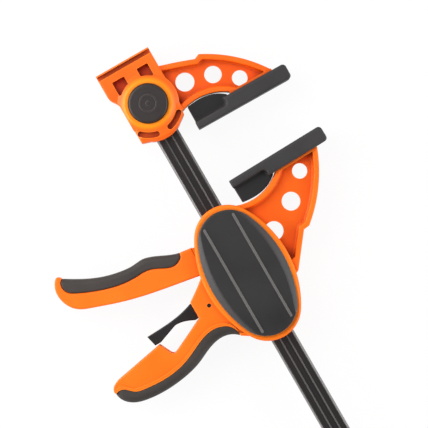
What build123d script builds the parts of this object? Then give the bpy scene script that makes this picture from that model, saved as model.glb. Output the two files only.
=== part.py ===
from build123d import *
import os
from math import cos, radians, sin, tan

os.makedirs("parts", exist_ok=True)

# A one-handed trigger bar clamp, in millimetres, lying on its back cover.
# The bar lies along X with its axis on y = 0, z = 0. Both jaws reach towards +Y, the handles towards -Y.
# x = 0 is the heel of the fixed pad's clamping face. The sliding jaw is drawn from its own pad's heel.

# Opening between the pads' heels
OPENING = 45.5
OPENING_MAX = 305.0

# Clearances
SLIDE_GAP = 0.25
PIVOT_GAP = 0.05
PLATE_GAP = 0.2
BRAKE_GAP = 0.12
SEAT_GAP = 0.15
MOVING_GAP = 0.4
TOUCH_GAP = 0.1

# Bar
BAR_DEPTH = 19.0
BAR_THICKNESS = 8.0
BAR_CORNER_R = 2.6
BAR_END_CHAMFER = 0.8
GROOVE_MOUTH = 7.0
GROOVE_FLOOR = 4.6
GROOVE_DEPTH = 1.2
BAR_IN_JAW = 66.0
BAR_TAIL = 12.0
STOP_PIN_R = 1.5
GUIDE_RIB_LENGTH = 6.0

# Jaw pads, measured behind the clamping face and up from the heel
PAD_HEEL_Y = 23.3
PAD_LENGTH = 81.2
PAD_HALF_WIDTH = 15.5
PAD_PLATE = 6.2
PAD_SOCKET_DEPTH = 12.4
PAD_SOCKET_START = 28.0
PAD_HEEL_DEPTH = 20.4
PAD_HEEL_HALF_WIDTH = 9.0
PAD_CORNER_R = 3.0
PAD_EDGE_R = 1.6
PAD_SEAT = 5.6
FIXED_TOE = 0.6
SLIDING_TOE = 1.65

# Jaw arms
ARM_HALF_WIDTH = 11.0
WEB_HALF_WIDTH = 3.5
ARM_RIM = 4.2
ARM_EDGE_R = 1.2
POCKET_CORNER_R = 2.5
WEB_FILLET_R = 1.6
TIP_START = 34.0
TIP_LENGTH = 36.5
TIP_DEPTH = 8.4
FIXED_ARM_HOLES = ((-37.2, 32, 7.3), (-31.5, 53.5, 6.7), (-19, 70, 6))
SLIDING_POCKET_END = 75.5
SLIDING_ARM_HOLES = ((20.2, 74.3, 5.9), (37, 57, 7.2), (50.2, 34.3, 7.4))

# Fixed jaw head
HEAD_HALF_WIDTH = 13.5
HEAD_EDGE_R = 1.4
HEAD_END_X = -74.1
HEAD_TOP_Y = 20.6
END_GROOVE_WIDTH = 3.4
END_GROOVE_DEPTH = 4.4
END_LIP = 1.2
BOSS_R = 23.6
BOSS_TOP_R = 17.8
BOSS_HALF_WIDTH = 17.5
BOSS_EDGE_R = 1.6
WINDOW_DEPTH = 8.6
WINDOW_CORNER_R = 0.8
WINDOW_BOSS_R = 21.4
NOSE_R = 28.2
NOSE_HALF_WIDTH = 15.2
NOSE_EDGE_R = 1.6
ARC_SLOT_R = 24.2
ARC_SLOT_WIDTH = 4.4
ARC_SLOT_DEPTH = 4.6
ARC_SLOT_ANGLE = 30.0
ARC_SLOT_STARTS = (14.0, -44.0)

# Lock button, its key and its spring
BUTTON_X = -36.4
BUTTON_Y = -0.6
BUTTON_R = 15.1
BUTTON_PROUD = 3.5
BUTTON_HEIGHT = 6.0
BUTTON_WALL = 2.4
BUTTON_EDGE_R = 1.8
BUTTON_TRAVEL = 5.6
KEY_WIDTH = 6.0
KEY_DEPTH = 4.0
KEY_BOSS_WALL = 1.2
TOOTH_HEIGHT = 3.2
TOOTH_REACH = 2.8
BUTTON_SPRING_R = 6.0
BUTTON_SPRING_WIRE = 0.9
BUTTON_SPRING_TURNS = 3
BACK_CAP_SEAT = 3.0
BACK_CAP_PROUD = 0.6
CAP_EDGE_R = 0.5

# Oval body of the sliding jaw, measured behind the moving pad's heel
OVAL_X = 67.8
OVAL_Y = 0.8
COVER_HALF_LENGTH = 51.7
COVER_HALF_WIDTH = 30.4
COVER_END_R = 24.2
RING_END_RIM = 4.3
RING_SIDE_RIM = 4.0
RING_CORNER_RIM = 1.6
RING_TOP_Z = 16.0
RING_EDGE_R = 2.0
CAVITY_WALL = 4.0
CAVITY_HALF_WIDTH = 10.4
COVER_SEAT_Z = 13.0
COVER_TOP_Z = 21.0
COVER_BEVEL_WIDTH = 5.2
COVER_BEVEL_DROP = 4.4
COVER_BEVEL_R = 116.0
COVER_EDGE_R = 1.0
COVER_SHELL = 3.0
COVER_INNER_Z = 16.4
BEAD_OFFSET = 12.6
BEAD_LENGTH = 90.0
BEAD_WIDTH = 1.5
BEAD_HEIGHT = 0.5
PEG_R = 2.0
PEG_LENGTH = 2.2
PEG_X = 36.0
PEG_Y = 11.0

# Trigger and drive plates
TRIGGER_HALF_WIDTH = 10.0
TRIGGER_PIVOT_X = 38.5
TRIGGER_PIN_R = 3.0
TRIGGER_PIN_LAND = 1.5
TRIGGER_BOSS_R = 6.0
TRIGGER_NOSE_R = 6.2
TRIGGER_NOSE_DROP = 5.5
TRIGGER_CORE_HALF_WIDTH = 5.5
FORK_DROP = 4.0
TRIGGER_EDGE_R = 1.5
DRIVE_PLATE = 2.8
DRIVE_PLATE_HALF_WIDTH = 9.0
DRIVE_TOP_LAND = 7.8
DRIVE_FOOT_LAND = 10.5
DRIVE_SPRING_R = 3.4
DRIVE_SPRING_WIRE = 1.0
DRIVE_SPRING_TURNS = 4
CROSS_WALL_X = 63.0
CROSS_WALL = 2.7

# Release lever and brake plate
RELEASE_PIVOT_X = 74.8
RELEASE_PIVOT_Y = -37.2
RELEASE_PIN_R = 1.6
RELEASE_PIN_SUNK = 0.8
LEVER_BOSS_R = 5.0
LEVER_HALF_WIDTH = 6.0
LEVER_NOSE_R = 2.0
LEVER_NOSE_DROP = 8.5
LEVER_NECK = 2.6
LEVER_EDGE_R = 0.8
BRAKE_X = 76.0
BRAKE_PLATE = 3.4
BRAKE_PLATE_HALF_WIDTH = 9.0
BRAKE_TILT = 4.7
BRAKE_TOP_LAND = 9.5
BRAKE_FOOT_LAND = 12.0
BRAKE_SPRING_R = 2.8
BRAKE_SPRING_WIRE = 0.8
BRAKE_SPRING_TURNS = 5
BRAKE_SPRING_LAND = 1.5
BRAKE_LIP = 3.1
BRAKE_LIP_LENGTH = 12.0
BRAKE_LIP_LAP = 3.5
BRAKE_POST_X = 88.5
BRAKE_POST = 3.0
BRAKE_POST_LENGTH = 18.0
RELEASE_SPRING_R = 2.2
RELEASE_SPRING_WIRE = 0.6
RELEASE_SPRING_TURNS = 3
WINDOW_X = 80.5
WINDOW_WIDTH = 14.0
WINDOW_HEIGHT = 46.0

# Handle and the soft grips
HANDLE_HALF_WIDTH = 12.5
HANDLE_EDGE_R = 1.0
HANDLE_WINDOW_R = 3.0
BEAD_RAISE = 0.9
GRIP_BEAD = 2.6
GRIP_SKIN = 3.5
GRIP_CORE_HALF_WIDTH = 9.0
HANDLE_GRIP_HALF_WIDTH = 13.2
HANDLE_GRIP_EDGE_R = 5.0
TRIGGER_GRIP_HALF_WIDTH = 10.4
TRIGGER_GRIP_EDGE_R = 4.0
TRIGGER_GRIP_CORE = 6.5

# Levels that follow from the sizes above
HALF_DEPTH = BAR_DEPTH / 2
HALF_THICK = BAR_THICKNESS / 2
PASSAGE_Y = HALF_DEPTH + SLIDE_GAP
PASSAGE_Z = HALF_THICK + SLIDE_GAP
RING_HALF_LENGTH = COVER_HALF_LENGTH + RING_END_RIM
RING_HALF_WIDTH = COVER_HALF_WIDTH + RING_SIDE_RIM
RING_END_R = COVER_END_R + RING_CORNER_RIM
RING_REAR = OVAL_X + RING_HALF_LENGTH
STOP_X = OPENING_MAX + RING_REAR + STOP_PIN_R + SLIDE_GAP
BAR_REAR = STOP_X + BAR_TAIL
BUTTON_TOP = BOSS_HALF_WIDTH + BUTTON_PROUD
BUTTON_UNDER = BUTTON_TOP - BUTTON_WALL
BUTTON_FLOOR = BUTTON_TOP - BUTTON_HEIGHT - BUTTON_TRAVEL - MOVING_GAP
TOOTH_TOP = BUTTON_TRAVEL - HALF_THICK - PLATE_GAP
KEY_Y = HALF_DEPTH + MOVING_GAP + KEY_DEPTH / 2
BACK_FLOOR = -BOSS_HALF_WIDTH + BACK_CAP_SEAT
TRIGGER_PIVOT_Y = HALF_DEPTH + TRIGGER_PIN_R + TRIGGER_PIN_LAND
DRIVE_Y = -(HALF_DEPTH + TRIGGER_NOSE_DROP)
DRIVE_PLATE_X = TRIGGER_PIVOT_X + TRIGGER_NOSE_R + TOUCH_GAP
DRIVE_SPRING_X = DRIVE_PLATE_X + 2 * DRIVE_PLATE
BRAKE_TOP_Y = HALF_DEPTH + BRAKE_TOP_LAND
BRAKE_TOP_X = BRAKE_X - BRAKE_TOP_Y * tan(radians(BRAKE_TILT))
LEVER_NOSE_Y = -(HALF_DEPTH + LEVER_NOSE_DROP)

slider = Plane(origin=(OPENING, 0, 0))
oval_plane = Plane(origin=(OPENING + OVAL_X, OVAL_Y, 0))
fixed_toe = radians(FIXED_TOE)
sliding_toe = radians(SLIDING_TOE)
fixed_pad_plane = Plane(
    origin=(0, PAD_HEEL_Y, 0),
    x_dir=(-cos(fixed_toe), sin(fixed_toe), 0),
    z_dir=(0, 0, -1),
)
sliding_pad_plane = Plane(
    origin=(OPENING, PAD_HEEL_Y, 0),
    x_dir=(cos(sliding_toe), sin(sliding_toe), 0),
    z_dir=(0, 0, 1),
)


def finish(builder, name):
    """Label a finished piece and write it to its own file."""
    builder.part.label = name
    export_step(builder.part, f"parts/{name}.step")


def edges_at(builder, level):
    """Edges that lie flat at one height."""
    return builder.edges().filter_by_position(Axis.Z, level - 0.01, level + 0.01)


def oval(half_length, half_width, end_r):
    """An oval of four arcs that meet in line."""
    run = half_length - end_r
    side_r = (run**2 + half_width**2 - end_r**2) / (2 * (half_width - end_r))
    tangent_x = run + end_r * run / (side_r - end_r)
    tangent_y = end_r * (side_r - half_width) / (side_r - end_r)
    with BuildSketch() as outline:
        with BuildLine():
            ThreePointArc((-tangent_x, tangent_y), (0, half_width), (tangent_x, tangent_y))
            ThreePointArc((tangent_x, tangent_y), (half_length, 0), (tangent_x, -tangent_y))
            ThreePointArc((tangent_x, -tangent_y), (0, -half_width), (-tangent_x, -tangent_y))
            ThreePointArc((-tangent_x, -tangent_y), (-half_length, 0), (-tangent_x, tangent_y))
        make_face()
    return outline.sketch


def cover_oval(grow=0.0):
    """The cover's oval, grown by a parallel distance."""
    return oval(COVER_HALF_LENGTH + grow, COVER_HALF_WIDTH + grow, COVER_END_R + grow)


def inset(points, distance):
    """Inner points of an outline moved to the left of its direction."""
    moved = []
    for before, here, after in zip(points, points[1:], points[2:]):
        along = Vector(*after) - Vector(*before)
        moved.append(Vector(*here) + Vector(-along.Y, along.X).normalized() * distance)
    return moved


def pad_room(plane):
    """The space behind the clamping face that the arm leaves to the pad."""
    with BuildPart() as room:
        with BuildSketch(plane):
            Rectangle(PAD_SOCKET_DEPTH + TOUCH_GAP, 2 * PAD_LENGTH, align=(Align.MIN, Align.MIN))
        extrude(amount=PAD_HALF_WIDTH, both=True)
    return room.part


def arm_tip(plane):
    """The block at the end of an arm that the pad slides onto."""
    with BuildPart() as tip:
        with BuildSketch(plane):
            with Locations((PAD_SEAT, TIP_START)):
                Rectangle(TIP_DEPTH, TIP_LENGTH, align=(Align.MIN, Align.MIN))
        extrude(amount=ARM_HALF_WIDTH, both=True)
    return tip.part


def coil(plane, radius, wire, length, turns):
    """A compression spring that stands on a plane: quarter-turn arcs swept by a round wire."""
    quarters = 4 * turns
    rise = (length - wire) / quarters

    def point(step):
        angle = radians(90 * step)
        return (radius * cos(angle), radius * sin(angle), wire / 2 + rise * step)

    with BuildPart() as spring:
        with BuildLine(plane) as path:
            for quarter in range(quarters):
                ThreePointArc(point(quarter), point(quarter + 0.5), point(quarter + 1))
        with BuildSketch(path.wire() ^ 0):
            Circle(wire / 2)
        sweep(path=path.wire())
    return spring.part


# Bar
with BuildPart() as bar:
    with BuildSketch(Plane.YZ.offset(-BAR_IN_JAW)):
        RectangleRounded(BAR_DEPTH, BAR_THICKNESS, BAR_CORNER_R)
        for face in (1, -1):
            with BuildLine():
                Polyline(
                    (-GROOVE_MOUTH / 2, face * HALF_THICK),
                    (-GROOVE_FLOOR / 2, face * (HALF_THICK - GROOVE_DEPTH)),
                    (GROOVE_FLOOR / 2, face * (HALF_THICK - GROOVE_DEPTH)),
                    (GROOVE_MOUTH / 2, face * HALF_THICK),
                    close=True,
                )
            make_face(mode=Mode.SUBTRACT)
    extrude(amount=BAR_IN_JAW + BAR_REAR)
    chamfer(bar.edges().group_by(Axis.X)[0], BAR_END_CHAMFER)
    chamfer(bar.edges().group_by(Axis.X)[-1], BAR_END_CHAMFER)
    # The lock notches: one where the fixed jaw sits, one for the jaw turned round at the rear end
    rear_notch_x = BAR_REAR - BAR_IN_JAW - BUTTON_X
    for notch_x, face in ((BUTTON_X, 1), (rear_notch_x, -1)):
        with BuildSketch(Plane.XY.offset(face * (TOOTH_TOP + PLATE_GAP))):
            with Locations((notch_x, HALF_DEPTH)):
                Rectangle(KEY_WIDTH + 2 * SLIDE_GAP, 2 * (TOOTH_REACH + SLIDE_GAP))
        extrude(amount=-face * BAR_THICKNESS, mode=Mode.SUBTRACT)
    with BuildSketch(Plane.XY):
        with Locations((STOP_X, 0)):
            Circle(STOP_PIN_R)
    extrude(amount=BAR_THICKNESS, both=True, mode=Mode.SUBTRACT)
finish(bar, "bar")

with BuildPart() as bar_stop_pin:
    with BuildSketch(Plane.XY):
        with Locations((STOP_X, 0)):
            Circle(STOP_PIN_R)
    extrude(amount=HALF_THICK, both=True)
finish(bar_stop_pin, "bar_stop_pin")

# Fixed jaw: its arm, then its head
with BuildPart() as fixed_arm:
    with BuildSketch(Plane.XY) as fixed_arm_outline:
        with BuildLine():
            ThreePointArc((-6, 97.7), (-35.2, 74), (-50.2, 51.5))
            Polyline((-50.2, 51.5), (-48.4, 47.2))
            ThreePointArc((-48.4, 47.2), (-52.7, 35.4), (-58.2, 18))
            Polyline((-58.2, 18), (-56, 5), (-22, 5), (-18.5, 19.4))
            ThreePointArc((-18.5, 19.4), (-21.2, 34), (-6, 65.1))
            Line((-6, 65.1), (-6, 97.7))
        make_face()
    extrude(amount=ARM_HALF_WIDTH, both=True)
    for face in (1, -1):
        with BuildSketch(Plane.XY.offset(face * WEB_HALF_WIDTH)):
            add(fixed_arm_outline.sketch)
            pocket = offset(amount=-ARM_RIM, kind=Kind.INTERSECTION, mode=Mode.REPLACE)
            fillet(pocket.vertices(), POCKET_CORNER_R)
        extrude(amount=face * ARM_HALF_WIDTH, mode=Mode.SUBTRACT)
        fillet(edges_at(fixed_arm, face * WEB_HALF_WIDTH), WEB_FILLET_R)
        fillet(edges_at(fixed_arm, face * ARM_HALF_WIDTH), ARM_EDGE_R)
    with BuildSketch(Plane.XY):
        for hole_x, hole_y, hole_r in FIXED_ARM_HOLES:
            with Locations((hole_x, hole_y)):
                Circle(hole_r)
    extrude(amount=ARM_HALF_WIDTH, both=True, mode=Mode.SUBTRACT)
    add(pad_room(fixed_pad_plane), mode=Mode.SUBTRACT)
    add(arm_tip(fixed_pad_plane))

with BuildPart() as boss:
    with Locations((BUTTON_X, BUTTON_Y)):
        Cylinder(BOSS_R, 2 * HEAD_HALF_WIDTH)
    for face in (1, -1):
        with BuildSketch(Plane.XY.offset(face * HEAD_HALF_WIDTH)):
            with Locations((BUTTON_X, BUTTON_Y)):
                Circle(BOSS_R)
        with BuildSketch(Plane.XY.offset(face * BOSS_HALF_WIDTH)):
            with Locations((BUTTON_X, BUTTON_Y)):
                Circle(BOSS_TOP_R)
        loft()
        fillet(edges_at(boss, face * BOSS_HALF_WIDTH), BOSS_EDGE_R)
    # Level with the head's lower edge
    with BuildSketch(Plane.XY):
        with Locations((BUTTON_X, -HEAD_TOP_Y)):
            Rectangle(2 * BOSS_R, 2 * BOSS_R, align=(Align.CENTER, Align.MIN))
    extrude(amount=BOSS_HALF_WIDTH, both=True, mode=Mode.INTERSECT)

with BuildPart() as nose:
    with BuildSketch(Plane.XY):
        with Locations((BUTTON_X, BUTTON_Y)):
            Circle(NOSE_R)
        with Locations((BUTTON_X, 0)):
            Rectangle(
                NOSE_R,
                2 * HEAD_TOP_Y - 2 * HEAD_EDGE_R,
                align=(Align.MIN, Align.CENTER),
                mode=Mode.INTERSECT,
            )
    extrude(amount=NOSE_HALF_WIDTH, both=True)
    for face in (1, -1):
        fillet(edges_at(nose, face * NOSE_HALF_WIDTH), NOSE_EDGE_R)

with BuildPart() as fixed_jaw:
    with BuildSketch(Plane.XY):
        with BuildLine():
            Polyline((HEAD_END_X, HEAD_TOP_Y), (HEAD_END_X, -25.3), (-56, -25.3))
            Spline((-56, -25.3), (-50, -22.9), (-44, -20.6), tangents=((1, 0), (1, 0)))
            Polyline((-44, -20.6), (-12.4, -20), (-10.3, -13.5))
            ThreePointArc((-10.3, -13.5), (-6.7, -1), (-9.8, 10.8))
            ThreePointArc((-9.8, 10.8), (-13.2, 15), (-18.5, 19.4))
            Polyline((-18.5, 19.4), (-20, HEAD_TOP_Y), (HEAD_END_X, HEAD_TOP_Y))
        make_face()
    extrude(amount=HEAD_HALF_WIDTH, both=True)
    for face in (1, -1):
        fillet(edges_at(fixed_jaw, face * HEAD_HALF_WIDTH), HEAD_EDGE_R)
    add(fixed_arm.part)
    add(nose.part)
    add(boss.part)
    for face in (1, -1):
        # Deep windows beside the boss
        with BuildSketch(Plane.XY.offset(face * (HEAD_HALF_WIDTH - WINDOW_DEPTH))):
            with Locations((-58.6, 9.4)):
                RectangleRounded(10.4, 9.4, WINDOW_CORNER_R)
            with Locations((-58.0, -11.6)):
                RectangleRounded(11.6, 10.4, WINDOW_CORNER_R)
            with Locations((BUTTON_X, BUTTON_Y)):
                Circle(WINDOW_BOSS_R, mode=Mode.SUBTRACT)
        extrude(amount=face * HEAD_HALF_WIDTH, mode=Mode.SUBTRACT)
        # Curved slots on the nose side of the boss
        with BuildSketch(Plane.XY.offset(face * (NOSE_HALF_WIDTH - ARC_SLOT_DEPTH))):
            for start in ARC_SLOT_STARTS:
                slot_arc = CenterArc(
                    (BUTTON_X, BUTTON_Y),
                    ARC_SLOT_R,
                    start,
                    ARC_SLOT_ANGLE,
                    mode=Mode.PRIVATE,
                )
                SlotArc(slot_arc, ARC_SLOT_WIDTH)
        extrude(amount=face * HEAD_HALF_WIDTH, mode=Mode.SUBTRACT)
        # Groove across the blind end
        with BuildSketch(Plane.XY.offset(face * (HEAD_HALF_WIDTH - END_GROOVE_DEPTH))):
            with Locations((HEAD_END_X + END_LIP + END_GROOVE_WIDTH / 2, 0)):
                Rectangle(END_GROOVE_WIDTH, 4 * HEAD_TOP_Y)
        extrude(amount=face * HEAD_HALF_WIDTH, mode=Mode.SUBTRACT)
    # Socket for the bar, closed at the blind end
    with BuildSketch(Plane.YZ.offset(-BAR_IN_JAW)):
        Rectangle(2 * PASSAGE_Y, 2 * PASSAGE_Z)
    extrude(amount=2 * BAR_IN_JAW, mode=Mode.SUBTRACT)
    # Bore for the button, seat for the back cap, and the key's slots
    with BuildSketch(Plane.XY.offset(BUTTON_FLOOR)):
        with Locations((BUTTON_X, BUTTON_Y)):
            Circle(BUTTON_R + MOVING_GAP)
    extrude(amount=BUTTON_TOP, mode=Mode.SUBTRACT)
    with BuildSketch(Plane.XY.offset(BACK_FLOOR)):
        with Locations((BUTTON_X, BUTTON_Y)):
            Circle(BUTTON_R + SEAT_GAP)
    extrude(amount=-BUTTON_TOP, mode=Mode.SUBTRACT)
    with BuildSketch(Plane.XY.offset(BACK_FLOOR - BACK_CAP_SEAT / 2)):
        with Locations((BUTTON_X, KEY_Y)):
            Rectangle(KEY_WIDTH + 2 * SLIDE_GAP, KEY_DEPTH + 2 * SLIDE_GAP)
    extrude(until=Until.LAST, mode=Mode.SUBTRACT)
    with BuildSketch(Plane.XY.offset(BACK_FLOOR)):
        with Locations((BUTTON_X, HALF_DEPTH)):
            Rectangle(KEY_WIDTH + 2 * SLIDE_GAP, 2 * (TOOTH_REACH + SLIDE_GAP))
    extrude(amount=-BACK_FLOOR, mode=Mode.SUBTRACT)
finish(fixed_jaw, "fixed_jaw")

# The two jaw pads are the same moulding
heel_end = PAD_SOCKET_START + 3.5
pads = (("fixed_jaw_pad", fixed_pad_plane), ("sliding_jaw_pad", sliding_pad_plane))
for pad_name, pad_plane in pads:
    with BuildPart() as pad:
        with BuildSketch(pad_plane) as pad_side:
            Rectangle(PAD_PLATE, PAD_LENGTH, align=(Align.MIN, Align.MIN))
            with Locations((0, PAD_SOCKET_START)):
                Rectangle(
                    PAD_SOCKET_DEPTH,
                    PAD_LENGTH - PAD_SOCKET_START,
                    align=(Align.MIN, Align.MIN),
                )
            inner_corner = pad_side.vertices().sort_by_distance((PAD_PLATE, PAD_SOCKET_START))[0]
            fillet(inner_corner, PAD_CORNER_R)
        extrude(amount=PAD_HALF_WIDTH, both=True)
        fillet(pad.edges().filter_by(Axis.Z).sort_by(Axis.Y)[-2:], PAD_CORNER_R)
        for face in (1, -1):
            fillet(edges_at(pad, face * PAD_HALF_WIDTH), PAD_EDGE_R)
        # Narrow heel that rests against the arm below the socket
        with BuildSketch(pad_plane):
            with BuildLine():
                Polyline((PAD_PLATE / 2, heel_end), (PAD_PLATE / 2, 0.5), (PAD_HEEL_DEPTH - 1, 0.5))
                Spline(
                    (PAD_HEEL_DEPTH - 1, 0.5),
                    (PAD_HEEL_DEPTH, 9),
                    (PAD_HEEL_DEPTH - 1.3, 21),
                    (PAD_HEEL_DEPTH - 5.1, 29),
                    (PAD_SOCKET_DEPTH + 1, heel_end),
                )
                Line((PAD_SOCKET_DEPTH + 1, heel_end), (PAD_PLATE / 2, heel_end))
            make_face()
        extrude(amount=PAD_HEEL_HALF_WIDTH, both=True)
        # Socket for the arm's tip
        with BuildSketch(pad_plane):
            with Locations((PAD_SEAT, TIP_START - SEAT_GAP)):
                Rectangle(TIP_DEPTH, TIP_LENGTH + 2 * SEAT_GAP, align=(Align.MIN, Align.MIN))
        extrude(amount=ARM_HALF_WIDTH + SEAT_GAP, both=True, mode=Mode.SUBTRACT)
    finish(pad, pad_name)

# Lock button: a hollow cap with a boss for its key
with BuildPart() as lock_button:
    with BuildSketch(Plane.XY.offset(BUTTON_TOP - BUTTON_HEIGHT)):
        with Locations((BUTTON_X, BUTTON_Y)):
            Circle(BUTTON_R)
    extrude(amount=BUTTON_HEIGHT)
    fillet(edges_at(lock_button, BUTTON_TOP), BUTTON_EDGE_R)
    with BuildSketch(Plane.XY.offset(BUTTON_TOP - BUTTON_HEIGHT)):
        with Locations((BUTTON_X, BUTTON_Y)):
            Circle(BUTTON_R - BUTTON_WALL)
        with Locations((BUTTON_X, KEY_Y)):
            Rectangle(KEY_WIDTH + 2 * KEY_BOSS_WALL, KEY_DEPTH + 2 * KEY_BOSS_WALL, mode=Mode.SUBTRACT)
            Rectangle(KEY_WIDTH, KEY_DEPTH)
    extrude(amount=BUTTON_HEIGHT - BUTTON_WALL, mode=Mode.SUBTRACT)
finish(lock_button, "lock_button")

with BuildPart() as lock_key:
    with BuildSketch(Plane.XY.offset(TOOTH_TOP - TOOTH_HEIGHT)):
        with Locations((BUTTON_X, KEY_Y)):
            Rectangle(KEY_WIDTH, KEY_DEPTH)
    extrude(amount=BUTTON_UNDER - TOOTH_TOP + TOOTH_HEIGHT)
    with BuildSketch(Plane.XY.offset(TOOTH_TOP - TOOTH_HEIGHT)):
        with Locations((BUTTON_X, HALF_DEPTH - TOOTH_REACH)):
            Rectangle(KEY_WIDTH, TOOTH_REACH + MOVING_GAP, align=(Align.CENTER, Align.MIN))
    extrude(amount=TOOTH_HEIGHT)
finish(lock_key, "lock_key")

with BuildPart() as button_spring:
    add(
        coil(
            Plane(origin=(BUTTON_X, BUTTON_Y, BUTTON_FLOOR)),
            BUTTON_SPRING_R,
            BUTTON_SPRING_WIRE,
            BUTTON_UNDER - BUTTON_FLOOR,
            BUTTON_SPRING_TURNS,
        )
    )
finish(button_spring, "button_spring")

with BuildPart() as jaw_back_cap:
    with BuildSketch(Plane.XY.offset(BACK_FLOOR)):
        with Locations((BUTTON_X, BUTTON_Y)):
            Circle(BUTTON_R)
    extrude(amount=-BACK_CAP_SEAT - BACK_CAP_PROUD)
    fillet(edges_at(jaw_back_cap, BACK_FLOOR - BACK_CAP_SEAT - BACK_CAP_PROUD), CAP_EDGE_R)
finish(jaw_back_cap, "jaw_back_cap")

# Arm of the sliding jaw
with BuildPart() as sliding_arm:
    with BuildSketch(slider) as sliding_arm_outline:
        with BuildLine():
            ThreePointArc((4, 97.1), (36.5, 81.4), (60, 59.7))
            Polyline((60, 59.7), (60.6, 54.7), (85.5, 35.5), (92, 22), (80, 8), (30, 4), (14, 6))
            Line((14, 6), (18.5, 17.5))
            ThreePointArc((18.5, 17.5), (20.9, 37.5), (5, 62.9))
            Line((5, 62.9), (4, 97.1))
        make_face()
    extrude(amount=ARM_HALF_WIDTH, both=True)
    for face in (1, -1):
        with BuildSketch(slider.offset(face * WEB_HALF_WIDTH)) as pocket:
            add(sliding_arm_outline.sketch_local)
            offset(amount=-ARM_RIM, kind=Kind.INTERSECTION, mode=Mode.REPLACE)
            with Locations((SLIDING_POCKET_END, 0)):
                Rectangle(OVAL_X, 2 * PAD_LENGTH, align=(Align.MIN, Align.CENTER), mode=Mode.SUBTRACT)
            fillet(pocket.vertices(), POCKET_CORNER_R)
        extrude(amount=face * ARM_HALF_WIDTH, mode=Mode.SUBTRACT)
        fillet(edges_at(sliding_arm, face * WEB_HALF_WIDTH), WEB_FILLET_R)
        fillet(edges_at(sliding_arm, face * ARM_HALF_WIDTH), ARM_EDGE_R)
    with BuildSketch(slider):
        for hole_x, hole_y, hole_r in SLIDING_ARM_HOLES:
            with Locations((hole_x, hole_y)):
                Circle(hole_r)
    extrude(amount=ARM_HALF_WIDTH, both=True, mode=Mode.SUBTRACT)
    add(pad_room(sliding_pad_plane), mode=Mode.SUBTRACT)
    add(arm_tip(sliding_pad_plane))

# Handle: its back, and the line where the soft grip meets the side panel
handle_back = (
    (98, -132.5),
    (104.9, -130.3),
    (109.4, -125.8),
    (113.8, -113.1),
    (114.8, -97.2),
    (113.3, -81.4),
    (108.9, -65),
    (102.9, -51.6),
    (100.9, -41.7),
    (106.8, -27.6),
)
handle_grip_line = (
    (98, -132.5),
    (98.4, -124.6),
    (103, -119.5),
    (105.8, -109.2),
    (106.6, -96.3),
    (104.6, -79.4),
    (99.4, -65.5),
    (94, -53.6),
    (92.3, -41.7),
    (95.5, -32.8),
    (106.8, -27.6),
)
with BuildSketch() as panel_outline:
    with BuildLine():
        Polyline(handle_grip_line[-1], (110.8, -21.3), (100, -10), (48, -10), (50.4, -28.5))
        Spline((50.4, -28.5), (58.4, -38.2), (65.8, -48.6))
        Polyline((65.8, -48.6), (79.6, -48.6), (94.2, -78.9), (82, -85), (89.2, -122.4))
        Spline((89.2, -122.4), (90.6, -128.2), (93, -131.7), handle_grip_line[0])
        Spline(*handle_grip_line)
    make_face()
    window_corner = panel_outline.vertices().sort_by_distance((94.2, -78.9))[0]
    fillet(window_corner, HANDLE_WINDOW_R)
with BuildSketch() as handle_core:
    with BuildLine():
        core_back = Spline(*inset(handle_back, GRIP_SKIN))
        Polyline(
            core_back @ 1,
            (86, -40),
            (90, -58),
            (98, -80),
            (100, -100),
            (97, -116),
            core_back @ 0,
        )
    make_face()

with BuildPart() as handle:
    with BuildSketch(slider):
        add(panel_outline.sketch)
    extrude(amount=HANDLE_HALF_WIDTH, both=True)
    panel_edges = edges_at(handle, HANDLE_HALF_WIDTH) + edges_at(handle, -HANDLE_HALF_WIDTH)
    fillet(panel_edges, HANDLE_EDGE_R)
    # Bead along the grip
    with BuildSketch(slider):
        add(panel_outline.sketch)
        with Locations((-GRIP_BEAD, 0)):
            add(panel_outline.sketch, mode=Mode.SUBTRACT)
    extrude(amount=HANDLE_HALF_WIDTH + BEAD_RAISE, both=True)
    # Core that runs on under the grip
    with BuildSketch(slider):
        add(handle_core.sketch)
    extrude(amount=GRIP_CORE_HALF_WIDTH, both=True)
    # Cored out from its front edge, which also takes the release lever's tip
    with BuildSketch(slider):
        Polygon(
            (74, -74),
            (90.5, -74),
            (96, -84),
            (100.5, -92),
            (101.3, -100),
            (100.3, -110),
            (97, -118.5),
            (92.5, -123.5),
            (82, -123.5),
            align=None,
        )
    extrude(amount=LEVER_HALF_WIDTH + MOVING_GAP, both=True, mode=Mode.SUBTRACT)

with BuildPart() as handle_grip:
    with BuildSketch(slider):
        with BuildLine():
            Spline(*handle_back)
            Spline(*handle_grip_line)
        make_face()
    extrude(amount=HANDLE_GRIP_HALF_WIDTH, both=True)
    for face in (1, -1):
        back_edge = edges_at(handle_grip, face * HANDLE_GRIP_HALF_WIDTH).sort_by(Axis.X)[-1]
        fillet(back_edge, HANDLE_GRIP_EDGE_R)
    with BuildSketch(slider):
        add(handle_core.sketch)
    extrude(amount=GRIP_CORE_HALF_WIDTH, both=True, mode=Mode.SUBTRACT)
finish(handle_grip, "handle_grip")

# Frame of the sliding jaw: oval ring, arm and handle in one moulding
with BuildPart() as ring:
    with BuildSketch(oval_plane):
        add(oval(RING_HALF_LENGTH, RING_HALF_WIDTH, RING_END_R))
    extrude(amount=RING_TOP_Z, both=True)
    for face in (1, -1):
        fillet(edges_at(ring, face * RING_TOP_Z), RING_EDGE_R)

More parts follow.
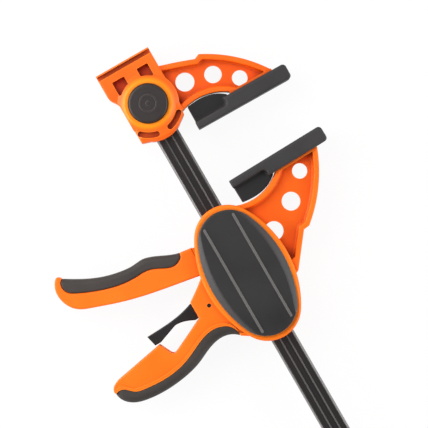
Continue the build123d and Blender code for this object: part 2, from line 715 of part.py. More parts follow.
with BuildPart() as jaw_frame:
    add(ring.part)
    add(sliding_arm.part)
    add(handle.part)
    # Seats for the covers, and the cavity between them
    for face in (1, -1):
        with BuildSketch(oval_plane.offset(face * COVER_SEAT_Z)):
            add(cover_oval(SEAT_GAP))
        extrude(amount=face * RING_TOP_Z, mode=Mode.SUBTRACT)
    with BuildSketch(oval_plane):
        add(cover_oval(-CAVITY_WALL))
    extrude(amount=CAVITY_HALF_WIDTH, both=True, mode=Mode.SUBTRACT)
    # Slots for the trigger and for the release lever
    with BuildSketch(slider):
        Polygon(
            (29.2, -15),
            (28, -37),
            (28, -60),
            (64.2, -60),
            (64.2, -49),
            (62.6, -22),
            (62.6, -15),
            align=None,
        )
    extrude(amount=CAVITY_HALF_WIDTH, both=True, mode=Mode.SUBTRACT)
    with BuildSketch(slider):
        Polygon(
            (66.2, -57),
            (66.2, -46),
            (68.6, -41),
            (66.9, -12),
            (82.5, -12),
            (85.5, -57),
            align=None,
        )
    extrude(amount=LEVER_HALF_WIDTH + MOVING_GAP, both=True, mode=Mode.SUBTRACT)
    # Cross wall behind the drive spring, lip above the brake plate and post behind its spring
    with BuildSketch(slider):
        with Locations((CROSS_WALL_X, OVAL_Y)):
            Rectangle(CROSS_WALL, 2 * COVER_HALF_WIDTH - CAVITY_WALL, align=(Align.MIN, Align.CENTER))
        with Locations((BRAKE_TOP_X - BRAKE_PLATE / 2 - TOUCH_GAP, BRAKE_TOP_Y - BRAKE_LIP_LAP)):
            Rectangle(BRAKE_LIP, BRAKE_LIP_LENGTH, align=(Align.MAX, Align.MIN))
        with Locations((BRAKE_POST_X, HALF_DEPTH)):
            Rectangle(BRAKE_POST, BRAKE_POST_LENGTH, align=(Align.MIN, Align.MIN))
    extrude(amount=CAVITY_HALF_WIDTH + TOUCH_GAP, both=True)
    # Passage for the bar, with a rib in each of its grooves at the rear
    with BuildSketch(Plane.YZ):
        Rectangle(2 * PASSAGE_Y, 2 * PASSAGE_Z)
    extrude(amount=2 * OPENING + RING_REAR, mode=Mode.SUBTRACT)
    for face in (1, -1):
        with BuildSketch(Plane.YZ.offset(OPENING + RING_REAR - GUIDE_RIB_LENGTH)):
            with Locations((0, face * (HALF_THICK - GROOVE_DEPTH + SLIDE_GAP))):
                Rectangle(
                    GROOVE_FLOOR - 2 * SLIDE_GAP,
                    GROOVE_DEPTH + SLIDE_GAP,
                    align=(Align.CENTER, Align.MIN if face > 0 else Align.MAX),
                )
        extrude(amount=GUIDE_RIB_LENGTH - RING_EDGE_R)
    # Windows in the side walls, through which the brake plate goes in
    with BuildSketch(slider):
        with Locations((WINDOW_X, OVAL_Y)):
            RectangleRounded(WINDOW_WIDTH, WINDOW_HEIGHT, PEG_R)
    extrude(amount=COVER_SEAT_Z, both=True, mode=Mode.SUBTRACT)
    # Holes for the pivot pins and for the covers' pegs
    with BuildSketch(slider):
        with Locations((TRIGGER_PIVOT_X, TRIGGER_PIVOT_Y)):
            Circle(TRIGGER_PIN_R)
        with Locations((RELEASE_PIVOT_X, RELEASE_PIVOT_Y)):
            Circle(RELEASE_PIN_R)
        with Locations((OVAL_X, OVAL_Y)):
            with GridLocations(2 * PEG_X, 2 * PEG_Y, 2, 2):
                Circle(PEG_R + PIVOT_GAP)
    extrude(amount=RING_TOP_Z, both=True, mode=Mode.SUBTRACT)
finish(jaw_frame, "jaw_frame")

# The two covers are the same moulding
for cover_name, face in (("front_cover", 1), ("back_cover", -1)):
    with BuildPart() as cover:
        with BuildSketch(oval_plane.offset(face * COVER_SEAT_Z)):
            add(cover_oval())
        extrude(amount=face * (COVER_TOP_Z - COVER_SEAT_Z))
        for side in (1, -1):
            cone_y = side * (COVER_HALF_WIDTH - COVER_BEVEL_WIDTH - COVER_BEVEL_R)
            with BuildSketch(oval_plane.offset(face * COVER_TOP_Z)):
                with Locations((0, cone_y)):
                    Circle(COVER_BEVEL_R)
            drop = COVER_TOP_Z - COVER_SEAT_Z
            slope = COVER_BEVEL_WIDTH / COVER_BEVEL_DROP
            with BuildSketch(oval_plane.offset(face * COVER_SEAT_Z)):
                with Locations((0, cone_y)):
                    Circle(COVER_BEVEL_R + drop * slope)
            loft(mode=Mode.INTERSECT)
        fillet(edges_at(cover, face * COVER_TOP_Z), COVER_EDGE_R)
        # Two raised lines along the bar's direction
        with BuildSketch(oval_plane.offset(face * (COVER_TOP_Z - BEAD_HEIGHT))):
            for side in (1, -1):
                with Locations((0, side * BEAD_OFFSET)):
                    SlotOverall(BEAD_LENGTH, BEAD_WIDTH)
        extrude(amount=face * 2 * BEAD_HEIGHT)
        # Hollow underside and pegs
        with BuildSketch(oval_plane.offset(face * COVER_SEAT_Z)):
            add(cover_oval(-COVER_SHELL))
        extrude(amount=face * (COVER_INNER_Z - COVER_SEAT_Z), mode=Mode.SUBTRACT)
        with BuildSketch(oval_plane.offset(face * COVER_INNER_Z)):
            with GridLocations(2 * PEG_X, 2 * PEG_Y, 2, 2):
                Circle(PEG_R)
        extrude(amount=-face * (COVER_INNER_Z - COVER_SEAT_Z + PEG_LENGTH))
    finish(cover, cover_name)

with BuildPart() as trigger_pivot_pin:
    with BuildSketch(slider):
        with Locations((TRIGGER_PIVOT_X, TRIGGER_PIVOT_Y)):
            Circle(TRIGGER_PIN_R)
    extrude(amount=COVER_SEAT_Z, both=True)
finish(trigger_pivot_pin, "trigger_pivot_pin")

with BuildPart() as release_pivot_pin:
    with BuildSketch(slider):
        with Locations((RELEASE_PIVOT_X, RELEASE_PIVOT_Y)):
            Circle(RELEASE_PIN_R)
    extrude(amount=HANDLE_HALF_WIDTH - RELEASE_PIN_SUNK, both=True)
finish(release_pivot_pin, "release_pivot_pin")

# Trigger: the squeezed lever, and above it a fork that straddles the bar
trigger_front = (
    (28.7, -36.6),
    (25, -47.3),
    (19.7, -59.7),
    (18.8, -64),
    (19.3, -72),
    (18.6, -83),
    (14, -100.5),
    (8.5, -112.4),
    (1.1, -124.9),
)
trigger_grip_line = (
    (28.7, -36.6),
    (33.9, -40.8),
    (35.1, -45.3),
    (32.4, -53.7),
    (28.1, -64.2),
    (28, -74.6),
    (26.5, -91.5),
    (22, -106.5),
    (16, -120.4),
    (11, -126.7),
    (7, -127.6),
    (1.1, -124.9),
)
trigger_toe = (trigger_grip_line[-1], (-1.6, -127.9), (2.8, -132), (11.8, -133.8), (22, -130.5))
trigger_rear = (
    (22, -130.5),
    (28.6, -123.6),
    (32.1, -115),
    (37.1, -100.6),
    (42.6, -81.2),
    (46.5, -62.3),
    (51.9, -31),
)
with BuildSketch() as trigger_core:
    with BuildLine():
        core_front = Spline(*inset(trigger_front, GRIP_SKIN))
        Polyline(
            core_front @ 1,
            (20, -118),
            (27, -106),
            (31, -91),
            (33, -75),
            (34, -62),
            (38, -46),
            core_front @ 0,
        )
    make_face()

with BuildPart() as trigger:
    with BuildSketch(slider):
        with BuildLine():
            Line((29.9, -26.9), trigger_grip_line[0])
            Spline(*trigger_grip_line)
            Spline(*trigger_toe)
            Spline(*trigger_rear)
            Polyline(trigger_rear[-1], (45, -26.9), (29.9, -26.9))
        make_face()
    extrude(amount=TRIGGER_HALF_WIDTH, both=True)
    lever_edges = edges_at(trigger, TRIGGER_HALF_WIDTH) + edges_at(trigger, -TRIGGER_HALF_WIDTH)
    fillet(lever_edges, TRIGGER_EDGE_R)
    with BuildSketch(slider):
        Polygon(
            (30.4, -27),
            (33, -15),
            (32.5, TRIGGER_PIVOT_Y),
            (43.5, TRIGGER_PIVOT_Y),
            (42.6, -22),
            (46, -28),
            align=None,
        )
        with Locations((TRIGGER_PIVOT_X, TRIGGER_PIVOT_Y)):
            Circle(TRIGGER_BOSS_R)
        with Locations((TRIGGER_PIVOT_X, DRIVE_Y)):
            Circle(TRIGGER_NOSE_R)
    extrude(amount=TRIGGER_HALF_WIDTH, both=True)
    # Core under the soft grip
    with BuildSketch(slider):
        add(trigger_core.sketch)
    extrude(amount=TRIGGER_GRIP_CORE, both=True)
    # Cored out from the rear edge
    with BuildSketch(slider):
        Polygon(
            (56, -50),
            (40, -50),
            (35.5, -62),
            (33.5, -75),
            (31.5, -91),
            (27.5, -106),
            (24, -116),
            (40, -116),
            align=None,
        )
    extrude(amount=TRIGGER_CORE_HALF_WIDTH, both=True, mode=Mode.SUBTRACT)
    # Fork and pivot
    with BuildSketch(slider):
        with Locations((TRIGGER_PIVOT_X, -(HALF_DEPTH + FORK_DROP))):
            Rectangle(4 * TRIGGER_BOSS_R, 2 * BAR_DEPTH, align=(Align.CENTER, Align.MIN))
    extrude(amount=HALF_THICK + MOVING_GAP, both=True, mode=Mode.SUBTRACT)
    with BuildSketch(slider):
        with Locations((TRIGGER_PIVOT_X, TRIGGER_PIVOT_Y)):
            Circle(TRIGGER_PIN_R + PIVOT_GAP)
    extrude(amount=TRIGGER_HALF_WIDTH, both=True, mode=Mode.SUBTRACT)
finish(trigger, "trigger")

with BuildPart() as trigger_grip:
    with BuildSketch(slider):
        with BuildLine():
            Spline(*trigger_front)
            Spline(*trigger_grip_line)
        make_face()
    extrude(amount=TRIGGER_GRIP_HALF_WIDTH, both=True)
    for face in (1, -1):
        front_edge = edges_at(trigger_grip, face * TRIGGER_GRIP_HALF_WIDTH).sort_by(Axis.X)[0]
        fillet(front_edge, TRIGGER_GRIP_EDGE_R)
    with BuildSketch(slider):
        add(trigger_core.sketch)
    extrude(amount=TRIGGER_GRIP_CORE, both=True, mode=Mode.SUBTRACT)
finish(trigger_grip, "trigger_grip")

# Drive plates: two alike, stacked on the bar
for place, plate_name in enumerate(("drive_plate_front", "drive_plate_rear")):
    with BuildPart() as drive_plate:
        with BuildSketch(Plane.YZ.offset(OPENING + DRIVE_PLATE_X + place * DRIVE_PLATE)):
            with Locations((-HALF_DEPTH - DRIVE_FOOT_LAND, 0)):
                Rectangle(
                    BAR_DEPTH + DRIVE_FOOT_LAND + DRIVE_TOP_LAND,
                    2 * DRIVE_PLATE_HALF_WIDTH,
                    align=(Align.MIN, Align.CENTER),
                )
            Rectangle(BAR_DEPTH + 2 * PLATE_GAP, BAR_THICKNESS + 2 * PLATE_GAP, mode=Mode.SUBTRACT)
        extrude(amount=DRIVE_PLATE)
    finish(drive_plate, plate_name)

with BuildPart() as drive_spring:
    add(
        coil(
            Plane(origin=(OPENING + DRIVE_SPRING_X, DRIVE_Y, 0), z_dir=(1, 0, 0)),
            DRIVE_SPRING_R,
            DRIVE_SPRING_WIRE,
            CROSS_WALL_X - DRIVE_SPRING_X,
            DRIVE_SPRING_TURNS,
        )
    )
finish(drive_spring, "drive_spring")

# Brake plate: leans on the lip at its top and on the release lever's nose at its foot
tilt = radians(BRAKE_TILT)
brake_plane = Plane(
    origin=(OPENING + BRAKE_TOP_X, BRAKE_TOP_Y, 0),
    x_dir=(cos(tilt), sin(tilt), 0),
    z_dir=(0, 0, 1),
)
brake_length = BRAKE_TOP_LAND + BAR_DEPTH + BRAKE_FOOT_LAND
brake_hole = (BAR_DEPTH + BRAKE_PLATE * sin(tilt)) / cos(tilt) + 2 * BRAKE_GAP
with BuildPart() as brake_plate:
    with BuildSketch(brake_plane):
        with Locations((0, -brake_length / 2)):
            SlotCenterToCenter(brake_length, BRAKE_PLATE, rotation=90)
    extrude(amount=BRAKE_PLATE_HALF_WIDTH, both=True)
    with BuildSketch(brake_plane):
        with Locations((0, -BRAKE_TOP_Y / cos(tilt))):
            Rectangle(3 * BRAKE_PLATE, brake_hole)
    extrude(amount=HALF_THICK + PLATE_GAP, both=True, mode=Mode.SUBTRACT)
finish(brake_plate, "brake_plate")


def brake_face(height, side):
    """Where the tilted plate's front (-1) or rear (1) face is at a height above the bar's axis."""
    return BRAKE_X - height * tan(tilt) + side * BRAKE_PLATE / 2 / cos(tilt)


with BuildPart() as brake_spring:
    spring_y = HALF_DEPTH + BRAKE_SPRING_R + BRAKE_SPRING_WIRE + BRAKE_SPRING_LAND
    lean = (BRAKE_SPRING_R + BRAKE_SPRING_WIRE) * tan(tilt) + TOUCH_GAP
    spring_x = brake_face(spring_y, 1) + lean
    add(
        coil(
            Plane(origin=(OPENING + spring_x, spring_y, 0), z_dir=(1, 0, 0)),
            BRAKE_SPRING_R,
            BRAKE_SPRING_WIRE,
            BRAKE_POST_X - spring_x,
            BRAKE_SPRING_TURNS,
        )
    )
finish(brake_spring, "brake_spring")

# Release lever: its nose holds the brake plate's foot
nose_x = brake_face(LEVER_NOSE_Y, -1) - LEVER_NOSE_R / cos(tilt) - TOUCH_GAP
with BuildPart() as release_lever:
    with BuildSketch(slider):
        with BuildLine():
            Spline((66.8, -49.9), (69.9, -60.6), (71.7, -74.5), (72.4, -90.3))
            Polyline((72.4, -90.3), (81, -88.2), (81, -83.2), (75.6, -68.4))
            Spline((75.6, -68.4), (75.4, -63.5), (79.5, -51.8), tangents=((-0.34, 0.94), (0.45, 0.9)))
            Polyline((79.5, -51.8), (78.5, -40), (71.2, -40), (67, -46.5), (66.8, -49.9))
        make_face()
    extrude(amount=LEVER_HALF_WIDTH, both=True)
    for face in (1, -1):
        fillet(edges_at(release_lever, face * LEVER_HALF_WIDTH), LEVER_EDGE_R)
    with BuildSketch(slider):
        with Locations((RELEASE_PIVOT_X, RELEASE_PIVOT_Y)):
            Circle(LEVER_BOSS_R)
        with Locations((nose_x, LEVER_NOSE_Y)):
            Circle(LEVER_NOSE_R)
        Polygon(
            (nose_x - LEVER_NOSE_R, LEVER_NOSE_Y),
            (nose_x - LEVER_NOSE_R + LEVER_NECK, LEVER_NOSE_Y),
            (RELEASE_PIVOT_X - LEVER_NOSE_R + LEVER_NECK, RELEASE_PIVOT_Y),
            (RELEASE_PIVOT_X - LEVER_NOSE_R, RELEASE_PIVOT_Y),
            align=None,
        )
    extrude(amount=LEVER_HALF_WIDTH, both=True)
    with BuildSketch(slider):
        with Locations((RELEASE_PIVOT_X, RELEASE_PIVOT_Y)):
            Circle(RELEASE_PIN_R + PIVOT_GAP)
    extrude(amount=LEVER_HALF_WIDTH, both=True, mode=Mode.SUBTRACT)
finish(release_lever, "release_lever")

with BuildPart() as release_spring:
    add(
        coil(
            Plane(origin=(OPENING + CROSS_WALL_X + CROSS_WALL, LEVER_NOSE_Y, 0), z_dir=(1, 0, 0)),
            RELEASE_SPRING_R,
            RELEASE_SPRING_WIRE,
            nose_x - LEVER_NOSE_R - CROSS_WALL_X - CROSS_WALL,
            RELEASE_SPRING_TURNS,
        )
    )
finish(release_spring, "release_spring")
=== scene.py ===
# %% [markdown]
# # Dressing a one-handed bar clamp
# The solid model already has the clamp's shapes and moving bodies. This lesson loads it as a fixed frame,
# gives each moulding and each steel piece its own finish, models the small pieces that the solids leave
# plain, and sets up the light and the camera for a picture taken from straight above.

# %% Load the frame
import math
import bpy
from mathutils import Matrix, Vector


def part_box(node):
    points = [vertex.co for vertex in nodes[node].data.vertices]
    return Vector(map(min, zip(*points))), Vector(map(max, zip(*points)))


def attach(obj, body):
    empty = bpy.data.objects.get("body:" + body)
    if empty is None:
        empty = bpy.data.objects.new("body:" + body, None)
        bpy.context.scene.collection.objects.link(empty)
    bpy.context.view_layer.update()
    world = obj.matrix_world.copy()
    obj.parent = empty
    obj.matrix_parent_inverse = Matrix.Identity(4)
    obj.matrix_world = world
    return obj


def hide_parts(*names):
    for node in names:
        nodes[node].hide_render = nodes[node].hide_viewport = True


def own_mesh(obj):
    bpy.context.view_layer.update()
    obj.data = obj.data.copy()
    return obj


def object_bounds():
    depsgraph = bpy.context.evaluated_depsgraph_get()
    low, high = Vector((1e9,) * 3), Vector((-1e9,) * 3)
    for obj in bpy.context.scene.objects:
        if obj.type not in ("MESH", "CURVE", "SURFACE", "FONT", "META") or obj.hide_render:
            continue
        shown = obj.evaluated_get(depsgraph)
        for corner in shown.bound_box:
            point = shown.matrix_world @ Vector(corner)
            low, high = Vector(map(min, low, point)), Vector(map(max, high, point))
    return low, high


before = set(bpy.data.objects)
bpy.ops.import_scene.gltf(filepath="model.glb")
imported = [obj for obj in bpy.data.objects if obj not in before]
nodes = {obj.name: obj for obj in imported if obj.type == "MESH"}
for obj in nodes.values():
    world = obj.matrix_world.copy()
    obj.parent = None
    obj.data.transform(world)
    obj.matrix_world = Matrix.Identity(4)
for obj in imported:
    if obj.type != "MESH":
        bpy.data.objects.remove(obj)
cad_low, cad_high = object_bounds()
bpy.ops.object.select_all(action="DESELECT")
print("pieces in the frame:", len(nodes), "size in metres:", [round(v, 4) for v in cad_high - cad_low])

# %% [markdown]
# ## Small helpers for finishes
# Every finish below is built from shader nodes, so it follows the piece into any light. Colours are easier
# to judge as they look on a screen, while the shader works in linear light, so one helper converts them.
# Nodes could be added and joined one line at a time, but with a handful of helpers each finish reads as a
# short recipe: add a node with what drives it, calculate, spread a range, mix two colours.

# %% Helpers for colours and nodes
def screen(red, green, blue):
    """A colour as it looks on a screen, from 0 to 255, in the shader's linear light.

    The numbers are those of the standard sRGB curve.
    """
    linear = []
    for value in (red, green, blue):
        value = value / 255
        linear.append(value / 12.92 if value <= 0.04045 else ((value + 0.055) / 1.055) ** 2.4)
    return (*linear, 1.0)


def add_node(tree, kind, sources=None, **settings):
    """A new shader node; each input is driven by another node's output or by a plain value."""
    node = tree.nodes.new("ShaderNode" + kind)
    for label, value in settings.items():
        setattr(node, label, value)
    for label, source in (sources or {}).items():
        if isinstance(source, bpy.types.NodeSocket):
            tree.links.new(source, node.inputs[label])
        else:
            node.inputs[label].default_value = source
    return node


def calculate(tree, operation, *sources):
    """One step of arithmetic on values that change over the surface."""
    return add_node(tree, "Math", dict(enumerate(sources)), operation=operation).outputs["Value"]


def spread(tree, value, start, end, low=0.0, high=1.0):
    """The span from start to end, turned into the span from low to high and held there beyond it."""
    spans = {"Value": value, "From Min": start, "From Max": end, "To Min": low, "To Max": high}
    return add_node(tree, "MapRange", spans).outputs["Result"]


def mix_colours(tree, share, first, second):
    """Two colours mixed by a mask, which shows the second where it is 1."""
    # In a mix of colours, sockets 6 and 7 take the two colours and output 2 is the result.
    return add_node(tree, "Mix", {0: share, 6: first, 7: second}, data_type="RGBA").outputs[2]


def noise(tree, place, scale, detail, roughness=0.5):
    """A cloudy pattern between 0 and 1."""
    sources = {"Vector": place, "Scale": scale, "Detail": detail, "Roughness": roughness}
    return add_node(tree, "TexNoise", sources).outputs[0]


# %% [markdown]
# ## Effects that finishes share
# An effect that several materials show is built once, as a group of nodes with named sockets, and placed in
# each of them with its own values. A group gives out only masks and heights between 0 and 1, and each
# material decides what they steer.

# %% Helpers for groups
def new_group(name, inputs, outputs):
    """An empty group with named sockets, and what it is given and gives; an input of None is a vector."""
    group = bpy.data.node_groups.new(name, "ShaderNodeTree")
    for label, default in inputs.items():
        kind = "NodeSocketVector" if default is None else "NodeSocketFloat"
        socket = group.interface.new_socket(label, in_out="INPUT", socket_type=kind)
        if default is not None:
            socket.default_value = default
    for label in outputs:
        group.interface.new_socket(label, in_out="OUTPUT", socket_type="NodeSocketFloat")
    given = group.nodes.new("NodeGroupInput").outputs
    result = group.nodes.new("NodeGroupOutput").inputs
    return group, given, result


def place_group(tree, group, **sources):
    """A shared effect in one material, with that material's own values; gives its outputs."""
    return add_node(tree, "Group", sources, node_tree=group).outputs


# %% [markdown]
# ## Etched grain
# Moulded plastic carries the fine grain of its etched mould and, over a whole piece, a slow drift in tone. An
# image could show both, but the piece would have to be unwrapped for it. Two noise patterns on the piece's
# own coordinates need no unwrapping and show no seam.

# %% Etched grain and slow drift in tone
grain, given, result = new_group(
    "etched_grain", {"Vector": None, "Grains": 1500.0, "Drift": 25.0}, ("Height", "Tone")
)
fine = noise(grain, given["Vector"], given["Grains"], detail=3.0, roughness=0.65)
slow = noise(grain, given["Vector"], given["Drift"], detail=4.0)
grain.links.new(fine, result["Height"])
grain.links.new(slow, result["Tone"])
print("effect:", grain.name, "gives", [socket.name for socket in result if socket.name])

# %% [markdown]
# ## Painted highlights on edges
# Rounded corners catch the light and look paler than the flats, and here that highlight is painted into the
# colour. The edges could be painted one by one. Here the shader finds them on every piece: a normal that is
# rounded over a small width leaves the true normal only beside an edge, and the angle between the two makes
# the mask.

# %% Painted highlights on edges
# The mask that this gives steers a painted highlight: edges take a paler colour that stands in for light.
edges, given, result = new_group("painted_edge_highlight", {"Width": 0.0011}, ("Edge",))
hardly_turned = 0.995
fully_turned = 0.85
rounded = add_node(edges, "Bevel", {"Radius": given["Width"]}, samples=6)
surface = add_node(edges, "NewGeometry")
normals = {0: rounded.outputs["Normal"], 1: surface.outputs["Normal"]}
along = add_node(edges, "VectorMath", normals, operation="DOT_PRODUCT")
edges.links.new(spread(edges, along.outputs["Value"], hardly_turned, fully_turned), result["Edge"])
print("effect:", edges.name, "turned from", hardly_turned, "to", fully_turned)

# %% [markdown]
# ## Painted shade in the recesses
# Grooves and pockets get less light than the open flats, and here that shade is painted into the colour.
# Ambient occlusion measures how closed in a place is, so it finds these recesses on every piece without any
# drawing.

# %% Painted shade in the recesses
# The mask that this gives darkens the colour where a place is closed in: painted shade.
recess_shade, given, result = new_group("painted_recess_shade", {"Reach": 0.007, "Open": 0.8, "Closed": 0.0}, ("Shade",))
closed_in = add_node(recess_shade, "AmbientOcclusion", {"Distance": given["Reach"]}, samples=8)
shaded = spread(recess_shade, closed_in.outputs["AO"], given["Open"], given["Closed"])
recess_shade.links.new(shaded, result["Shade"])
print("effect:", recess_shade.name, "gives", [socket.name for socket in result if socket.name])

# %% [markdown]
# ## Painted light by level
# Some painted light goes with the distance from the clamp's middle plane: painted shade makes the pockets of
# the arms deeper in tone and the sunken tongues of the pads darker, and painted highlights make the boss
# round the button and the ribs of the cover paler. Each could have a material of its own, but then the mesh
# has to be cut. A mask made from the height on the piece's own coordinates needs no cut, and serves the front
# and the back alike.

# %% Painted light by level
# The mask that this gives steers painted shade on some levels and painted highlights on others.
light_by_level, given, result = new_group(
    "painted_light_by_level", {"Vector": None, "Start": 0.0, "Full": 0.01}, ("Reached",)
)
heights = add_node(light_by_level, "SeparateXYZ", {"Vector": given["Vector"]})
off_middle = calculate(light_by_level, "ABSOLUTE", heights.outputs["Z"])
light_by_level.links.new(spread(light_by_level, off_middle, given["Start"], given["Full"]), result["Reached"])
print("effect:", light_by_level.name, "gives", [socket.name for socket in result if socket.name])

# %% [markdown]
# ## Painted reflection on the slopes of the rolled bar
# The bar's rounded corners and the sides of its groove would mirror the bright walls, and here that
# reflection is painted into the colour, paler than the flats. These slopes are wide, so the mask for crisp
# edges would miss them. This mask reads which way the surface faces, neither straight up nor straight to the
# side, and weighs the corners more than the groove, which lies nearer to the bar's axis.

# %% Painted reflection on the slopes of a rolled section
# The mask that this gives steers a painted reflection on the bar's slopes.
slope_reflection, given, result = new_group("painted_slope_reflection", {"Normal": None, "Vector": None}, ("Slope",))
flat_ends, slope_full = 0.97, 0.8
side_ends, side_full = 0.02, 0.2
groove_reach, corner_start, groove_weight = 0.0035, 0.0075, 0.45
facing = add_node(slope_reflection, "SeparateXYZ", {"Vector": given["Normal"]})
upright = calculate(slope_reflection, "ABSOLUTE", facing.outputs["Z"])
off_flat = spread(slope_reflection, upright, flat_ends, slope_full)
off_side = spread(slope_reflection, upright, side_ends, side_full)
across = add_node(slope_reflection, "SeparateXYZ", {"Vector": given["Vector"]})
from_axis = calculate(slope_reflection, "ABSOLUTE", across.outputs["Y"])
weight = spread(slope_reflection, from_axis, groove_reach, corner_start, low=groove_weight)
sloping = calculate(slope_reflection, "MULTIPLY", off_flat, off_side)
slope_reflection.links.new(calculate(slope_reflection, "MULTIPLY", sloping, weight), result["Slope"])
print("effect:", slope_reflection.name, "weighs the groove", groove_weight)

# %% [markdown]
# ## Lines along the steel
# Rolled and drawn steel shows fine lines along its length. They could be cut as scratches, but they are finer
# than any mesh should be. Noise that is squeezed across the bar and drawn out along it gives them.

# %% Lines along rolled or drawn steel
lines, given, result = new_group("rolled_lines", {"Vector": None}, ("Lines",))
lines_per_metre = (6.0, 900.0, 900.0)
stretch = add_node(lines, "Mapping", {"Vector": given["Vector"], "Scale": lines_per_metre})
lines.links.new(noise(lines, stretch.outputs["Vector"], 1.0, detail=4.0), result["Lines"])
print("shared effects:", [group.name for group in bpy.data.node_groups])

# %% [markdown]
# ## One recipe for the mouldings
# The jaws, covers, pads and grips are all moulded, and differ in colour, gloss and grain. One recipe makes
# them: the tone drifts between two close colours, some levels get painted shade and others painted
# highlights, edges get a painted highlight and recesses painted shade, the gloss follows the drift, and the
# grain becomes a shallow bump. A moulding with an etched skin mirrors less than a polished one, so the
# shader's specular level is set for each.

# %% Helpers for materials
def new_finish(name):
    """A new material, its nodes, its shader, and the coordinates of the piece that wears it."""
    material = bpy.data.materials.new(name)
    material.use_nodes = True
    tree = material.node_tree
    return material, tree, tree.nodes["Principled BSDF"], add_node(tree, "TexCoord").outputs


def set_surface(tree, shader, colour, roughness, height, strength, depth):
    """Join a finished colour, a roughness and a shallow bump, its depth in metres, to the shader."""
    relief = {"Strength": strength, "Distance": depth, "Height": height}
    tree.links.new(colour, shader.inputs["Base Color"])
    tree.links.new(roughness, shader.inputs["Roughness"])
    tree.links.new(add_node(tree, "Bump", relief).outputs["Normal"], shader.inputs["Normal"])


# %% The moulding recipe
drift_low, drift_high = 0.35, 0.65
moulded_gloss_range = 0.05
grain_strength = 0.6


def moulding(
    name, colour, deeper, highlight_colour, highlight_share, shade_colour, gloss, specular, grains, depth, painted_levels=()
):
    """A moulded finish; gloss is the mean roughness and depth the grain's height in metres.

    Each of the painted levels, painted shade in some bands and painted highlights in others, is where it
    starts, where it is full, its share and its colour.
    """
    material, tree, shader, place = new_finish(name)
    shader.inputs["Specular IOR Level"].default_value = specular
    etched = place_group(tree, grain, Vector=place["Object"], Grains=grains)
    drift = spread(tree, etched["Tone"], drift_low, drift_high)
    body = mix_colours(tree, drift, screen(*deeper), screen(*colour))
    # Painted light by level: some bands are painted shade, others painted highlights.
    for start, full, share, painted_tint in painted_levels:
        band = place_group(tree, light_by_level, Vector=place["Object"], Start=start, Full=full)
        painted_share = calculate(tree, "MULTIPLY", band["Reached"], share)
        body = mix_colours(tree, painted_share, body, screen(*painted_tint))
    # Painted highlight on the edges: a paler colour where the mask finds an edge.
    edge_highlight_share = calculate(tree, "MULTIPLY", place_group(tree, edges)["Edge"], highlight_share)
    body = mix_colours(tree, edge_highlight_share, body, screen(*highlight_colour))
    # Painted shade in the recesses: a darker colour where ambient occlusion finds a closed-in place.
    body = mix_colours(tree, place_group(tree, recess_shade)["Shade"], body, screen(*shade_colour))
    sheen = spread(tree, drift, 0.0, 1.0, gloss - moulded_gloss_range, gloss + moulded_gloss_range)
    set_surface(tree, shader, body, sheen, etched["Height"], grain_strength, depth)
    return material


# %% [markdown]
# ## Orange nylon
# The sliding jaw's frame and the trigger are bright orange nylon, and the fixed jaw is a little redder and
# glossier. One finish could serve all three. Two finishes, alike in grain and in the levels of their painted
# light, keep that difference. Painted shade makes the pockets deeper in tone, and a painted highlight makes
# the boss round the button yellower.

# %% The two orange finishes
orange_grain = {"grains": 1400, "depth": 0.00002}
# Painted shade deepens the pockets, and a painted highlight makes the boss yellower.
pocket_shade_level = (0.0105, 0.003, 0.28, (205, 62, 6))
boss_highlight_start, boss_highlight_full = 0.0152, 0.0174

orange = moulding(
    "orange_nylon",
    colour=(252, 115, 17),
    deeper=(248, 106, 12),
    highlight_colour=(255, 160, 50),
    highlight_share=0.55,
    shade_colour=(128, 32, 3),
    gloss=0.42,
    specular=0.24,
    painted_levels=(pocket_shade_level, (boss_highlight_start, boss_highlight_full, 0.65, (255, 150, 14))),
    **orange_grain,
)
jaw_orange = moulding(
    "orange_jaw_nylon",
    colour=(249, 104, 15),
    deeper=(244, 96, 11),
    highlight_colour=(255, 152, 46),
    highlight_share=0.5,
    shade_colour=(122, 26, 3),
    gloss=0.4,
    specular=0.26,
    painted_levels=(pocket_shade_level, (boss_highlight_start, boss_highlight_full, 0.8, (255, 150, 12))),
    **orange_grain,
)
print("orange finishes:", orange.name, jaw_orange.name)

# %% [markdown]
# ## Dark hard mouldings
# The covers, the button and the release lever are hard black plastic. The cover has the coarsest grain, and
# painted highlights make its ribs and its sloping rim paler than its face. The button is a warmer black, and
# the lever is the darkest. The same recipe makes all three, with other values.

# %% Cover, button and lever
# Painted highlights on the ribs and on the sloping rim of the cover.
rib_highlight_level = (0.0211, 0.0214, 0.7, (92, 92, 94))
rim_highlight_level = (0.0207, 0.0196, 0.7, (60, 60, 62))

cover_black = moulding(
    "textured_cover",
    colour=(33, 31, 31),
    deeper=(27, 25, 25),
    highlight_colour=(150, 143, 138),
    highlight_share=0.6,
    shade_colour=(14, 12, 12),
    gloss=0.46,
    specular=0.46,
    grains=1800,
    depth=0.0001,
    painted_levels=(rib_highlight_level, rim_highlight_level),
)
button_black = moulding(
    "button_plastic",
    colour=(42, 34, 32),
    deeper=(36, 29, 27),
    highlight_colour=(104, 96, 92),
    highlight_share=0.45,
    shade_colour=(18, 15, 15),
    gloss=0.48,
    specular=0.45,
    grains=1500,
    depth=0.00004,
)
lever_black = moulding(
    "lever_plastic",
    colour=(26, 22, 23),
    deeper=(20, 17, 18),
    highlight_colour=(70, 64, 64),
    highlight_share=0.4,
    shade_colour=(10, 8, 8),
    gloss=0.45,
    specular=0.35,
    grains=1200,
    depth=0.00003,
)
print("hard finishes:", cover_black.name, button_black.name, lever_black.name)

# %% [markdown]
# ## Rubber
# The pads and the grips are rubber, duller than the hard mouldings. The pads are dark grey, and painted
# shade makes their sunken tongues nearly black. The grips are a warmer grey with a coarser bump, and the
# painted highlight on their soft corners is weaker.

